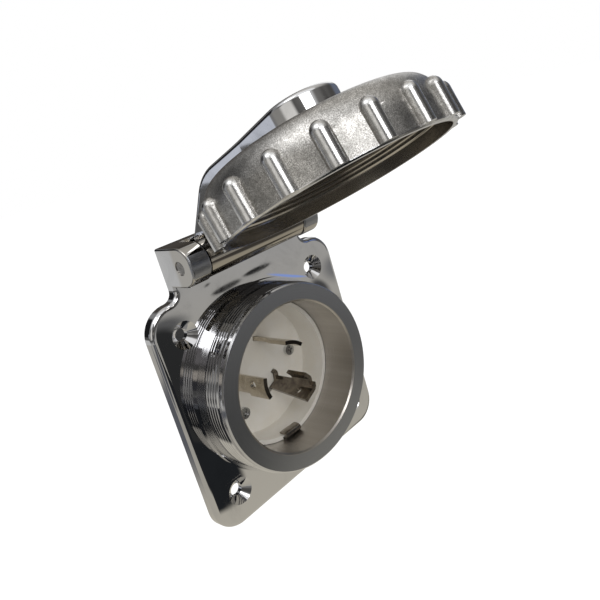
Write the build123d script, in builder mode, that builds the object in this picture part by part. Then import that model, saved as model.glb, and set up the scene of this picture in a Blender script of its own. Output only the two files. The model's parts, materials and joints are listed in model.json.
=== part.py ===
from build123d import *

import os
from math import cos, degrees, radians, sin

# Shore power inlet: a square stainless flange with a threaded collar, blades in an insulating
# cup, and a hinged lid that carries a screw cap.
# Frame: millimetres, X to the right, Y to the back, Z up. The origin is on the collar's axis,
# in the flange's mounting face. The lid is built open, at its stop.

# Flange
flange_side = 105.0
flange_thickness = 5.5
flange_corner_radius = 12.0
flange_edge_radius = 2.0
mount_hole_spacing = 76.2
mount_hole_radius = 2.8
countersink_radius = 6.0
countersink_angle = 90.0

# Collar
bore_radius = 34.0
collar_wall = 8.0
collar_length = 21.6
collar_chamfer = 0.7
lead_length = 2.8
lead_step = 0.4
thread_length = 9.0
thread_depth = 1.0
band_step = 1.2
ridge_width = 1.5
ridge_step = 3.0

# Hinge
hinge_height = 66.6
hinge_reach = 14.5
hinge_radius = 8.5
hinge_edge_radius = 0.8
knuckle_width = 9.2
barrel_length = 52.0
barrel_end_gap = 0.5
barrel_radial_gap = 0.5
pin_radius = 3.0
pin_end_recess = 0.3
neck_fillet = 4.4
neck_corner_gap = 0.3

# Lid arm
open_angle = 110.0
stop_gap = 0.3
arm_thickness = 6.4
arm_foot_half_width = 21.3
arm_lean_angle = 51.0
arm_waist_height = 24.0
arm_waist_radius = 60.0
arm_bend_radius = 19.0
arm_edge_radius = 2.0
boss_radius = 16.0
boss_top = 13.4

# Screw cap
cap_rim_gap = 3.7
cap_height = 21.0
cap_wall = 2.5
cap_skirt_clearance = 2.5
cap_thread_clearance = 0.6
cap_skirt_depth = 5.5
cap_crown_wall = 3.4
cap_seat_wall = 5.4
cap_shoulder_width = 7.0
cap_shoulder_height = 12.0
cap_rim_chamfer = 0.5
rib_count = 18
rib_phase = 7.5
rib_height = 3.0
rib_radius = 3.4
rib_length = 15.5

# Cap pivot
pivot_radius = 5.0
pivot_thread_radius = 4.0
pivot_thread_length = 8.0
pivot_head_radius = 8.0
pivot_head_height = 2.6
pivot_slot_width = 1.6
pivot_slot_depth = 1.2
washer_thickness = 1.0
thrust_washer_radius = 13.0
retaining_washer_radius = 11.0
axial_play = 0.1

# Cap gasket
gasket_width = 9.0
gasket_seal_gap = 0.3

# Insulator cup
cup_rim_setback = 19.9
cup_depth = 13.9
cup_wall_at_rim = 2.0
cup_wall_at_floor = 3.0
cup_floor_thickness = 3.8
cup_flange_width = 5.5
cup_flange_thickness = 3.5
cup_gasket_thickness = 1.0

# Blades
blade_circle_radius = 14.6
blade_thickness = 1.8
blade_span_angle = 39.0
blade_notch_angle = 6.0
blade_tip_setback = 7.6
blade_notch_start = 13.5
blade_hole_radius = 2.0
blade_hole_turn = 4.5
blade_hole_setback = 8.5
blade_foot_thickness = 1.6
line_blade_angles = {"top": 60.5, "left": 178.5}
neutral_angle = -66.0
neutral_leg_width = 8.4
neutral_flange_width = 8.0
neutral_flange_flare = 2.6
neutral_bend_radius = 3.2
neutral_tip_setback = 4.9
neutral_tip_relief = 2.2
neutral_root_narrowing = 3.4
neutral_flange_length = 14.8
neutral_root_length = 1.8
neutral_root_width = 5.5
neutral_hole_radius = 1.7

# Ground path
clip_angles = {"lower": -92.0, "upper": 88.0}
clip_width = 9.6
clip_thickness = 0.8
clip_lip_radius = 1.2
clip_lip_reach = 0.8
clip_bow = 0.1
clip_leaf_length = 3.0
clip_slot_clearance = 0.4
bus_outer_margin = 1.4
bus_width = 6.0
bus_thickness = 1.2

# Terminals
body_radius = 36.0
body_edge_chamfer = 1.5
terminal_wall = 4.4
terminal_side = 12.0
terminal_length = 14.0
terminal_circle_radius = 17.0
ground_terminal_side = 9.0
ground_terminal_circle_radius = 27.0
ground_terminal_angle = -150.0
wire_hole_radius = 3.5
wire_hole_inset = 1.5
wire_hole_depth = 11.0
wire_passage_margin = 1.0
terminal_screw_radius = 2.5
terminal_screw_head_radius = 3.4
terminal_screw_head_height = 2.4
terminal_screw_length = 3.4
terminal_screw_setback = 6.0
terminal_screw_slot_width = 1.0
terminal_screw_slot_depth = 1.2
ground_wire_hole_radius = 2.6

# Small screws
screw_radius = 1.5
screw_head_radius = 2.75
screw_head_height = 2.0
screw_recess_width = 0.9
screw_recess_depth = 1.1
face_screw_circle_radius = 21.5
face_screw_angles = (-2.0, 113.5, 229.0)
face_screw_length = 13.0
flange_screw_count = 4
flange_screw_length = 10.0

# Clearances
running_clearance = 0.05
press_clearance = 0.02
loose_clearance = 0.2
hole_end_margin = 1.0

# Values worked out from the sizes above
thread_root_radius = bore_radius + collar_wall
thread_crest_radius = thread_root_radius + thread_depth
thread_front = collar_length - lead_length
thread_back = thread_front - thread_length
hinge_top = hinge_height + hinge_radius
neck_width = barrel_length + 2 * (barrel_end_gap + knuckle_width)
neck_seat = neck_width / 2 + neck_fillet + neck_corner_gap
flange_corner = min(flange_corner_radius, flange_side / 2 - neck_seat)
cup_rim_y = cup_rim_setback - collar_length
cup_floor_y = cup_rim_y + cup_depth
cup_back_y = cup_floor_y + cup_floor_thickness
cup_outer_radius = bore_radius - loose_clearance
cup_flange_radius = bore_radius + cup_flange_width
cup_flange_back_y = cup_flange_thickness
flange_screw_circle_radius = bore_radius + cup_flange_width / 2
blade_foot_back_y = cup_back_y + blade_foot_thickness
bus_back_y = cup_back_y + bus_thickness
terminal_back_y = blade_foot_back_y + terminal_length
terminal_screw_y = terminal_back_y - terminal_screw_setback
body_back_y = terminal_back_y + terminal_wall
clip_base_radius = (cup_outer_radius ** 2 - (clip_width / 2) ** 2) ** 0.5 - clip_thickness / 2
clip_lip_y = cup_rim_y - clip_lip_reach

# Terminals: name, angle, circle radius, side, wire hole radius and front face
terminals = (
    ("terminal_hot_top", line_blade_angles["top"], terminal_circle_radius,
     terminal_side, wire_hole_radius, blade_foot_back_y),
    ("terminal_hot_left", line_blade_angles["left"], terminal_circle_radius,
     terminal_side, wire_hole_radius, blade_foot_back_y),
    ("terminal_neutral", neutral_angle, terminal_circle_radius,
     terminal_side, wire_hole_radius, blade_foot_back_y),
    ("terminal_ground", ground_terminal_angle, ground_terminal_circle_radius,
     ground_terminal_side, ground_wire_hole_radius, bus_back_y),
)

# Lid values: u runs from the hinge axis to the front of the closed lid, v from the hinge axis down
# to the collar's axis. The lid's planes carry these two directions through the open angle.
lid_front = Vector(0, -cos(radians(open_angle)), sin(radians(open_angle)))
lid_down = Vector(0, -sin(radians(open_angle)), -cos(radians(open_angle)))
hinge_point = Vector(0, -hinge_reach, hinge_height)
cap_rim_u = flange_thickness + cap_rim_gap - hinge_reach
cap_top_u = cap_rim_u + cap_height
cap_crown_u = cap_top_u - cap_crown_wall
boss_base_u = cap_top_u + axial_play + washer_thickness
boss_top_u = cap_top_u + boss_top
pivot_head_u = cap_crown_u - axial_play - washer_thickness
cap_skirt_radius = thread_crest_radius + cap_skirt_clearance
cap_thread_radius = thread_crest_radius + cap_thread_clearance
cap_thread_root_radius = cap_thread_radius + thread_depth / 2
cap_pocket_radius = cap_thread_radius - thread_depth / 2
cap_wall_radius = cap_skirt_radius + cap_wall
cap_seat_height = cap_height - cap_seat_wall
cap_crown_height = cap_height - cap_crown_wall
seal_height = collar_length - flange_thickness - cap_rim_gap + gasket_seal_gap

lid_side = Plane(origin=hinge_point, x_dir=lid_front, z_dir=(-1, 0, 0))


def lid_disc(u, turn=0.0):
    """Plane across the cap's axis, u in front of the hinge axis, facing the arm's side."""
    centre = hinge_point + lid_front * u + lid_down * hinge_height
    first = Vector(cos(radians(turn)), 0, 0) - lid_down * sin(radians(turn))
    return Plane(origin=centre, x_dir=first, z_dir=lid_front)


def cap_section():
    """Plane through the cap's axis: its x is the radius, its y the height above the rim."""
    centre = hinge_point + lid_front * cap_rim_u + lid_down * hinge_height
    return Plane(origin=centre, x_dir=(1, 0, 0), z_dir=lid_down)


def front_plane(y):
    """Plane across the collar's axis at y, facing the front: its x is X and its y is Z."""
    return Plane.XZ.offset(-y)


def polar_plane(y, radius, angle):
    """Plane across the collar's axis at y, facing the front, with its x out along a radius."""
    outward = Vector(cos(radians(angle)), 0, sin(radians(angle)))
    return Plane(origin=outward * radius + Vector(0, y, 0), x_dir=outward, z_dir=(0, -1, 0))


def radial_plane(y, radius, angle):
    """Plane that faces out along a radius of the collar, with its x to the front."""
    outward = Vector(cos(radians(angle)), 0, sin(radians(angle)))
    return Plane(origin=outward * radius + Vector(0, y, 0), x_dir=(0, -1, 0), z_dir=outward)


def axial_plane(angle):
    """Plane through the collar's axis: its x is the radius, its y is Y."""
    outward = Vector(cos(radians(angle)), 0, sin(radians(angle)))
    sideways = Vector(-sin(radians(angle)), 0, cos(radians(angle)))
    return Plane(origin=(0, 0, 0), x_dir=outward, z_dir=sideways)


def line_blade_section(angle, narrowing, margin=0.0):
    """Section of a line blade: a bar bent round the collar's axis."""
    edge = degrees(margin / blade_circle_radius)
    first = angle - blade_span_angle / 2 - edge
    span = blade_span_angle - narrowing + 2 * edge
    with BuildSketch() as section:
        with BuildLine():
            inner = CenterArc((0, 0), blade_circle_radius - blade_thickness / 2 - margin, first, span)
            outer = CenterArc((0, 0), blade_circle_radius + blade_thickness / 2 + margin, first, span)
            Line(inner @ 0, outer @ 0)
            Line(inner @ 1, outer @ 1)
        make_face()
    return section.sketch


def neutral_blade_section(flange_width, margin=0.0):
    """Section of the neutral blade: its leg lies across a radius, its curled flange points inward."""
    half_width = neutral_leg_width / 2
    bend = half_width - blade_thickness / 2
    with BuildSketch() as section:
        with BuildLine() as centre_line:
            FilletPolyline(
                (0, -half_width - margin),
                (0, bend),
                (-neutral_flange_width / 2, bend + neutral_flange_flare),
                (-neutral_flange_width - blade_thickness, bend + neutral_flange_flare / 2),
                radius=neutral_bend_radius - blade_thickness / 2,
            )
        trace(centre_line.line, blade_thickness + 2 * margin)
        with Locations((blade_thickness / 2 - flange_width / 2 - margin / 2, 0)):
            Rectangle(blade_thickness + flange_width + margin, 4 * neutral_leg_width, mode=Mode.INTERSECT)
    return section.sketch


def save(piece, label):
    """Labels a finished piece and writes it as its own file."""
    piece.part.label = label
    export_step(piece.part, f"parts/{label}.step")


# Housing

def make_flange_housing():
    """One casting: flange, neck, hinge knuckles and threaded collar."""
    flange_top = flange_side / 2
    knuckle_side = neck_width / 2
    with BuildPart() as flange_housing:
        with BuildSketch(front_plane(0)) as outline:
            RectangleRounded(flange_side, flange_side, flange_corner)
            with Locations((0, hinge_top / 2)):
                Rectangle(neck_width, hinge_top)
            neck_corners = outline.vertices().filter_by(
                lambda corner: abs(corner.Y - flange_top) < 0.01
                and abs(abs(corner.X) - knuckle_side) < 0.01
            )
            fillet(neck_corners, neck_fillet)
        extrude(amount=flange_thickness)
        front_face = flange_housing.faces().sort_by(Axis.Y)[0]
        rounded_edges = front_face.edges().filter_by(
            lambda edge: edge.center().Z < flange_top + neck_fillet - 0.1
        )
        fillet(rounded_edges, flange_edge_radius)
        for side in (-1, 1):
            with BuildSketch(Plane.YZ.offset(side * (knuckle_side - knuckle_width))):
                with Locations((-hinge_reach, hinge_height)):
                    Circle(hinge_radius)
                with Locations((-hinge_reach / 2, hinge_height)):
                    Rectangle(hinge_reach, 2 * hinge_radius)
            extrude(amount=side * knuckle_width)
        for x_place in (knuckle_side, knuckle_side - knuckle_width):
            round_edges = flange_housing.edges().filter_by(
                lambda edge: abs(abs(edge.center().X) - x_place) < 0.01
                and edge.center().Y < -hinge_reach - hinge_radius / 2
            )
            fillet(round_edges, hinge_edge_radius)
        with BuildSketch(front_plane(0)):
            Circle(cup_flange_radius + loose_clearance)
        extrude(amount=flange_thickness, mode=Mode.SUBTRACT)
        with BuildSketch(Plane.XY):
            with BuildLine():
                Polyline(
                    (bore_radius, -cup_gasket_thickness),
                    (cup_flange_radius + loose_clearance, -cup_gasket_thickness),
                    (cup_flange_radius + loose_clearance, 0),
                    (thread_root_radius + ridge_step, 0),
                    (thread_root_radius + ridge_step, -flange_thickness - ridge_width),
                    (thread_root_radius + band_step, -flange_thickness - ridge_width),
                    (thread_root_radius + band_step, -thread_back),
                    (thread_root_radius, -thread_back),
                    (thread_root_radius, -thread_front),
                    (thread_root_radius + lead_step, -thread_front),
                    (thread_root_radius + lead_step, -collar_length + collar_chamfer),
                    (thread_root_radius + lead_step - collar_chamfer, -collar_length),
                    (bore_radius + collar_chamfer, -collar_length),
                    (bore_radius, -collar_length + collar_chamfer),
                    close=True,
                )
            make_face()
        revolve(axis=Axis.Y)
        with Locations(front_plane(-flange_thickness)):
            with GridLocations(mount_hole_spacing, mount_hole_spacing, 2, 2):
                CounterSinkHole(
                    mount_hole_radius,
                    countersink_radius,
                    counter_sink_angle=countersink_angle,
                )
        with BuildSketch(Plane.YZ.offset(-knuckle_side)):
            with Locations((-hinge_reach, hinge_height)):
                Circle(pin_radius + press_clearance)
        extrude(amount=neck_width, mode=Mode.SUBTRACT)
        with BuildSketch(front_plane(0)):
            with PolarLocations(flange_screw_circle_radius, flange_screw_count, 45):
                Circle(screw_radius + press_clearance)
        extrude(amount=flange_screw_length - cup_flange_back_y + hole_end_margin, mode=Mode.SUBTRACT)
    save(flange_housing, "flange_housing")


def make_hinge_pin():
    """Plain pin, held in the knuckles."""
    with BuildPart() as hinge_pin:
        with BuildSketch(Plane.YZ.offset(-neck_width / 2 + pin_end_recess)):
            with Locations((-hinge_reach, hinge_height)):
                Circle(pin_radius)
        extrude(amount=neck_width - 2 * pin_end_recess)
    save(hinge_pin, "hinge_pin")


# Lid

def make_lid_arm():
    """One casting: hinge barrel, bent strap with a stop heel, and round boss."""
    heel_offset = Vector(0, hinge_reach - flange_thickness - stop_gap, hinge_radius - stop_gap)
    heel = (heel_offset.dot(lid_front), -heel_offset.dot(lid_down))
    lean = radians(arm_lean_angle)
    half_thickness = arm_thickness / 2
    line_start = (heel[0] - half_thickness * sin(lean), heel[1] - half_thickness * cos(lean))
    line_u = boss_top_u - half_thickness
    line_bend = (line_u, line_start[1] - (line_u - line_start[0]) * sin(lean) / cos(lean))
    with BuildPart() as lid_arm:
        with BuildSketch(lid_side):
            with BuildLine() as strap_line:
                FilletPolyline(
                    line_start,
                    line_bend,
                    (line_u, -hinge_height - 2 * boss_radius),
                    radius=arm_bend_radius,
                )
            trace(strap_line.line, arm_thickness)
        extrude(amount=arm_foot_half_width, both=True)
        with BuildSketch(lid_disc(0)):
            with BuildLine():
                FilletPolyline(
                    (-boss_radius, 0),
                    (-boss_radius, arm_waist_height),
                    (-arm_foot_half_width, hinge_height + hinge_radius),
                    radius=arm_waist_radius,
                )
                Line(
                    (-arm_foot_half_width, hinge_height + hinge_radius),
                    (arm_foot_half_width, hinge_height + hinge_radius),
                )
                FilletPolyline(
                    (arm_foot_half_width, hinge_height + hinge_radius),
                    (boss_radius, arm_waist_height),
                    (boss_radius, 0),
                    radius=arm_waist_radius,
                )
                ThreePointArc((boss_radius, 0), (0, -boss_radius), (-boss_radius, 0))
            make_face()
        extrude(amount=boss_top_u, mode=Mode.INTERSECT)
        outer_faces = lid_arm.faces().filter_by(lambda face: face.normal_at().dot(lid_front) > 0.5)
        side_edges = outer_faces.edges().filter_by(
            lambda edge: edge.geom_type != GeomType.LINE or abs(edge.tangent_at(0.5).X) < 0.9
        )
        fillet(side_edges, arm_edge_radius)
        with BuildSketch(lid_disc(boss_base_u)):
            Circle(boss_radius)
        extrude(amount=boss_top_u - arm_thickness / 2 - boss_base_u)
        with BuildSketch(lid_side):
            Circle(hinge_radius - barrel_radial_gap)
        extrude(amount=barrel_length / 2, both=True)
        with BuildSketch(lid_side):
            Circle(pin_radius + running_clearance)
        extrude(amount=barrel_length / 2, both=True, mode=Mode.SUBTRACT)
        with BuildSketch(lid_disc(boss_base_u)):
            Circle(pivot_thread_radius + press_clearance)
        extrude(amount=pivot_thread_length + hole_end_margin, mode=Mode.SUBTRACT)
    save(lid_arm, "lid_arm")


def make_screw_cap():
    """Cast ring cap: crown, ribbed wall, smooth skirt, thread zone and gasket seat."""
    hole_radius = pivot_radius + running_clearance
    shoulder_start = cap_wall_radius - cap_shoulder_width
    shoulder_end = cap_height - cap_shoulder_height
    seat_radius = cap_pocket_radius - loose_clearance - gasket_width
    cap_axis = Axis(lid_disc(cap_rim_u).origin, lid_front)
    with BuildPart() as screw_cap:
        with BuildSketch(cap_section()):
            with BuildLine():
                Polyline(
                    (shoulder_start, cap_height),
                    (0, cap_height),
                    (0, 0),
                    (cap_wall_radius - cap_rim_chamfer, 0),
                    (cap_wall_radius, cap_rim_chamfer),
                    (cap_wall_radius, shoulder_end),
                )
                Bezier(
                    (cap_wall_radius, shoulder_end),
                    (cap_wall_radius, shoulder_end + cap_shoulder_height / 2),
                    (cap_wall_radius - cap_shoulder_width / 2, cap_height),
                    (shoulder_start, cap_height),
                )
            make_face()
        revolve(axis=cap_axis)
        for number in range(rib_count):
            rib_angle = rib_phase + number * 360 / rib_count
            top_plane = lid_disc(cap_rim_u + rib_length - rib_radius, rib_angle)
            with BuildSketch(lid_disc(cap_rim_u + cap_rim_chamfer, rib_angle)):
                with Locations((cap_wall_radius + rib_height - rib_radius, 0)):
                    Circle(rib_radius)
            extrude(amount=rib_length - rib_radius - cap_rim_chamfer)
            with Locations(top_plane):
                with Locations((cap_wall_radius + rib_height - rib_radius, 0, 0)):
                    Sphere(rib_radius)
        with BuildSketch(cap_section()):
            with BuildLine():
                Polyline(
                    (0, 0),
                    (cap_skirt_radius, 0),
                    (cap_skirt_radius, cap_skirt_depth),
                    (cap_thread_root_radius, cap_skirt_depth),
                    (cap_thread_root_radius, seal_height - loose_clearance),
                    (cap_pocket_radius, seal_height - loose_clearance),
                    (cap_pocket_radius, cap_seat_height),
                    (seat_radius, cap_seat_height),
                    (seat_radius - cap_seat_wall + cap_crown_wall, cap_crown_height),
                    (hole_radius, cap_crown_height),
                    (hole_radius, cap_height),
                    (0, cap_height),
                    close=True,
                )
            make_face()
        revolve(axis=cap_axis, mode=Mode.SUBTRACT)
    save(screw_cap, "screw_cap")


def make_cap_gasket():
    """Flat ring in the cap's pocket that seals on the collar's face."""
    outer_radius = cap_pocket_radius - loose_clearance
    with BuildPart() as cap_gasket:
        with BuildSketch(lid_disc(cap_rim_u + seal_height)):
            Circle(outer_radius)
            Circle(outer_radius - gasket_width, mode=Mode.SUBTRACT)
        extrude(amount=cap_seat_height - seal_height)
    save(cap_gasket, "cap_gasket")


def make_pivot():
    """Shoulder screw through the cap's crown into the boss, with its two washers."""
    with BuildPart() as pivot_screw:
        with BuildSketch(lid_disc(pivot_head_u - pivot_head_height)):
            Circle(pivot_head_radius)
        extrude(amount=pivot_head_height)
        with BuildSketch(lid_disc(pivot_head_u)):
            Circle(pivot_radius)
        extrude(amount=boss_base_u - pivot_head_u)
        with BuildSketch(lid_disc(boss_base_u)):
            Circle(pivot_thread_radius)
        extrude(amount=pivot_thread_length)
        with BuildSketch(lid_disc(pivot_head_u - pivot_head_height)):
            Rectangle(2 * pivot_head_radius, pivot_slot_width)
        extrude(amount=pivot_slot_depth, mode=Mode.SUBTRACT)
    save(pivot_screw, "pivot_screw")

    with BuildPart() as thrust_washer:
        with BuildSketch(lid_disc(boss_base_u - washer_thickness)):
            Circle(thrust_washer_radius)
            Circle(pivot_radius + loose_clearance, mode=Mode.SUBTRACT)
        extrude(amount=washer_thickness)
    save(thrust_washer, "thrust_washer")

    with BuildPart() as retaining_washer:
        with BuildSketch(lid_disc(pivot_head_u)):
            Circle(retaining_washer_radius)
            Circle(pivot_radius + loose_clearance, mode=Mode.SUBTRACT)
        extrude(amount=washer_thickness)
    save(retaining_washer, "retaining_washer")


# Insulator

def make_insulator_cup():
    """Cup in the back of the bore, with a flange behind the housing and openings for the metal."""
    leaf_inner_radius = clip_base_radius - clip_thickness / 2 - loose_clearance
    slot_width = clip_width + 2 * clip_slot_clearance
    with BuildPart() as insulator_cup:
        with BuildSketch(Plane.XY):
            with BuildLine():
                Polyline(
                    (0, cup_floor_y),
                    (cup_outer_radius - cup_wall_at_floor, cup_floor_y),
                    (cup_outer_radius - cup_wall_at_rim, cup_rim_y),
                    (cup_outer_radius, cup_rim_y),
                    (cup_outer_radius, 0),
                    (cup_flange_radius, 0),
                    (cup_flange_radius, cup_flange_back_y),
                    (cup_outer_radius, cup_flange_back_y),
                    (cup_outer_radius, cup_back_y),
                    (0, cup_back_y),
                    close=True,
                )
            make_face()
        revolve(axis=Axis.Y)
        for angle in clip_angles.values():
            with BuildSketch(axial_plane(angle)):
                with BuildLine():
                    Polyline(
                        (leaf_inner_radius, cup_rim_y - hole_end_margin),
                        (bore_radius + loose_clearance, cup_rim_y - hole_end_margin),
                        (bore_radius + loose_clearance, cup_back_y),
                        (leaf_inner_radius, cup_back_y),
                        close=True,
                    )
                make_face()
            extrude(amount=slot_width / 2, both=True, mode=Mode.SUBTRACT)
        for angle in line_blade_angles.values():
            with BuildSketch(front_plane(cup_back_y)):
                add(line_blade_section(angle, blade_notch_angle, loose_clearance))
            extrude(amount=cup_floor_thickness, mode=Mode.SUBTRACT)
        with BuildSketch(polar_plane(cup_back_y, blade_circle_radius, neutral_angle)):
            add(neutral_blade_section(neutral_root_width, loose_clearance))
        extrude(amount=cup_floor_thickness, mode=Mode.SUBTRACT)
        for angle in face_screw_angles:
            with BuildSketch(polar_plane(cup_back_y, face_screw_circle_radius, angle)):
                Circle(screw_radius + loose_clearance)
            extrude(amount=cup_floor_thickness, mode=Mode.SUBTRACT)
        with BuildSketch(front_plane(cup_flange_back_y)):
            with PolarLocations(flange_screw_circle_radius, flange_screw_count, 45):
                Circle(screw_radius + loose_clearance)
        extrude(amount=cup_flange_thickness, mode=Mode.SUBTRACT)
    save(insulator_cup, "insulator_cup")


def make_insulator_gasket():
    """Flat ring between the cup's flange and the housing."""
    with BuildPart() as insulator_gasket:
        with BuildSketch(front_plane(0)):
            Circle(cup_flange_radius)
            Circle(bore_radius, mode=Mode.SUBTRACT)
            with PolarLocations(flange_screw_circle_radius, flange_screw_count, 45):
                Circle(screw_radius + loose_clearance, mode=Mode.SUBTRACT)
        extrude(amount=cup_gasket_thickness)
    save(insulator_gasket, "insulator_gasket")


def make_screws():
    """Cross-recess pan-head screws: three in the cup's floor, four behind its flange."""
    recess_length = 1.3 * screw_head_radius
    with BuildPart() as insulator_screws:
        for angle in face_screw_angles:
            with BuildSketch(polar_plane(cup_floor_y, face_screw_circle_radius, angle)):
                Circle(screw_head_radius)
            extrude(amount=screw_head_height)
            with BuildSketch(polar_plane(cup_floor_y + face_screw_length, face_screw_circle_radius, angle)):
                Circle(screw_radius)
            extrude(amount=face_screw_length)
            with BuildSketch(polar_plane(cup_floor_y - screw_head_height, face_screw_circle_radius, angle)):
                Rectangle(recess_length, screw_recess_width)
                Rectangle(screw_recess_width, recess_length)
            extrude(amount=-screw_recess_depth, mode=Mode.SUBTRACT)
    save(insulator_screws, "insulator_screws")

    with BuildPart() as retaining_screws:
        with BuildSketch(front_plane(cup_flange_back_y + screw_head_height)):
            with PolarLocations(flange_screw_circle_radius, flange_screw_count, 45):
                Circle(screw_head_radius)
        extrude(amount=screw_head_height)
        with BuildSketch(front_plane(cup_flange_back_y)):
            with PolarLocations(flange_screw_circle_radius, flange_screw_count, 45):
                Circle(screw_radius)
        extrude(amount=flange_screw_length)
        with BuildSketch(front_plane(cup_flange_back_y + screw_head_height)):
            with PolarLocations(flange_screw_circle_radius, flange_screw_count, 45):
                Rectangle(recess_length, screw_recess_width)
                Rectangle(screw_recess_width, recess_length)
        extrude(amount=screw_recess_depth, mode=Mode.SUBTRACT)
    save(retaining_screws, "retaining_screws")


# Contacts

def make_line_blade(place, angle):
    """Curved blade, narrowed at its root, with a hole near its tip and a foot behind the cup."""
    tip_y = blade_tip_setback - collar_length
    notch_y = tip_y + blade_notch_start
    with BuildPart() as line_blade:
        with BuildSketch(front_plane(notch_y)):
            add(line_blade_section(angle, 0))
        extrude(amount=notch_y - tip_y)
        with BuildSketch(front_plane(cup_back_y)):
            add(line_blade_section(angle, blade_notch_angle))
        extrude(amount=cup_back_y - notch_y)
        with BuildSketch(polar_plane(blade_foot_back_y, terminal_circle_radius, angle)):
            Rectangle(terminal_side, terminal_side)
        extrude(amount=blade_foot_thickness)
        with BuildSketch(radial_plane(tip_y + blade_hole_setback, 0, angle - blade_hole_turn)):
            Circle(blade_hole_radius)
        extrude(amount=blade_circle_radius + blade_thickness, mode=Mode.SUBTRACT)
    save(line_blade, f"blade_hot_{place}")


def make_neutral_blade():
    """L-section blade with a slanted edge, a notched flange and a foot behind the cup."""
    tip_y = neutral_tip_setback - collar_length
    notch_y = tip_y + neutral_flange_length
    root_y = cup_floor_y - neutral_root_length
    half_width = neutral_leg_width / 2
    flange_radius = blade_circle_radius - blade_thickness - neutral_flange_width / 2
    with BuildPart() as blade_neutral:
        with BuildSketch(polar_plane(notch_y, blade_circle_radius, neutral_angle)):
            add(neutral_blade_section(neutral_flange_width))
        extrude(amount=notch_y - tip_y)
        with BuildSketch(polar_plane(cup_back_y, blade_circle_radius, neutral_angle)):
            add(neutral_blade_section(neutral_root_width))
        extrude(amount=cup_back_y - notch_y)
        with BuildSketch(radial_plane(0, blade_circle_radius - blade_thickness, neutral_angle)):
            with BuildLine():
                Polyline(
                    (-cup_back_y, half_width + hole_end_margin),
                    (-cup_back_y, half_width - neutral_root_narrowing),
                    (-tip_y, half_width),
                    (-tip_y, half_width + hole_end_margin),
                    close=True,
                )
            make_face()
        extrude(amount=2 * blade_thickness, mode=Mode.SUBTRACT)
        with BuildSketch(axial_plane(neutral_angle)):
            with Locations((flange_radius, notch_y / 2 + root_y / 2)):
                Rectangle(neutral_flange_width, root_y - notch_y)
            with Locations((flange_radius, tip_y)):
                Rectangle(neutral_flange_width, 2 * neutral_tip_relief)
        extrude(amount=neutral_leg_width, both=True, mode=Mode.SUBTRACT)
        with BuildSketch(polar_plane(blade_foot_back_y, terminal_circle_radius, neutral_angle)):
            Rectangle(terminal_side, terminal_side)
        extrude(amount=blade_foot_thickness)
        with BuildSketch(radial_plane(tip_y + blade_hole_setback, 0, neutral_angle)):
            Circle(neutral_hole_radius)
        extrude(amount=blade_circle_radius + blade_thickness, mode=Mode.SUBTRACT)
    save(blade_neutral, "blade_neutral")


def make_ground_clip(place, angle):
    """Sprung strip in a channel outside the cup's wall, rolled over the wall's rim."""
    inner_radius = clip_base_radius - 2 * clip_lip_radius
    with BuildPart() as ground_clip:
        with BuildSketch(axial_plane(angle)):
            with BuildLine() as strip:
                Line((clip_base_radius, cup_back_y), (clip_base_radius, clip_lip_y))
                ThreePointArc(
                    (clip_base_radius, clip_lip_y),
                    (clip_base_radius - clip_lip_radius, clip_lip_y - clip_lip_radius),
                    (inner_radius, clip_lip_y),
                )
                ThreePointArc(
                    (inner_radius, clip_lip_y),
                    (inner_radius - clip_bow, clip_lip_y + clip_leaf_length / 2),
                    (inner_radius, clip_lip_y + clip_leaf_length),
                )
            trace(strip.line, clip_thickness)
        extrude(amount=clip_width / 2, both=True)
    save(ground_clip, f"ground_clip_{place}")


def make_ground_bus():
    """Flat ring that joins the clips' base leaves to the ground terminal."""
    outer_radius = body_radius - bus_outer_margin
    with BuildPart() as ground_bus:
        with BuildSketch(front_plane(bus_back_y)):
            Circle(outer_radius)
            Circle(outer_radius - bus_width, mode=Mode.SUBTRACT)
        extrude(amount=bus_thickness)
    save(ground_bus, "ground_bus")


# Terminals

def make_terminal(label, angle, circle_radius, side, hole_radius, front_y):
    """Block with a wire hole from the back and a radial clamp screw."""
    with BuildPart() as terminal:
        with BuildSketch(polar_plane(terminal_back_y, circle_radius, angle)):
            Rectangle(side, side)
        extrude(amount=terminal_back_y - front_y)
        with BuildSketch(polar_plane(terminal_back_y, circle_radius - wire_hole_inset, angle)):
            Circle(hole_radius)
        extrude(amount=wire_hole_depth, mode=Mode.SUBTRACT)
        with BuildSketch(radial_plane(terminal_screw_y, circle_radius, angle)):
            Circle(terminal_screw_radius + press_clearance)
        extrude(amount=side / 2, mode=Mode.SUBTRACT)
    save(terminal, label)


def make_terminal_screws():
    """Slotted clamp screws, one in each terminal block."""
    with BuildPart() as terminal_screws:
        for label, angle, circle_radius, side, hole_radius, front_y in terminals:
            block_face = circle_radius + side / 2
            with BuildSketch(radial_plane(terminal_screw_y, block_face - terminal_screw_length, angle)):
                Circle(terminal_screw_radius)
            extrude(amount=terminal_screw_length)
            with BuildSketch(radial_plane(terminal_screw_y, block_face, angle)):
                Circle(terminal_screw_head_radius)
            extrude(amount=terminal_screw_head_height)
            head_face = block_face + terminal_screw_head_height
            with BuildSketch(radial_plane(terminal_screw_y, head_face, angle)):
                Rectangle(2 * terminal_screw_head_radius, terminal_screw_slot_width)
            extrude(amount=-terminal_screw_slot_depth, mode=Mode.SUBTRACT)
    save(terminal_screws, "terminal_screws")


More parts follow.
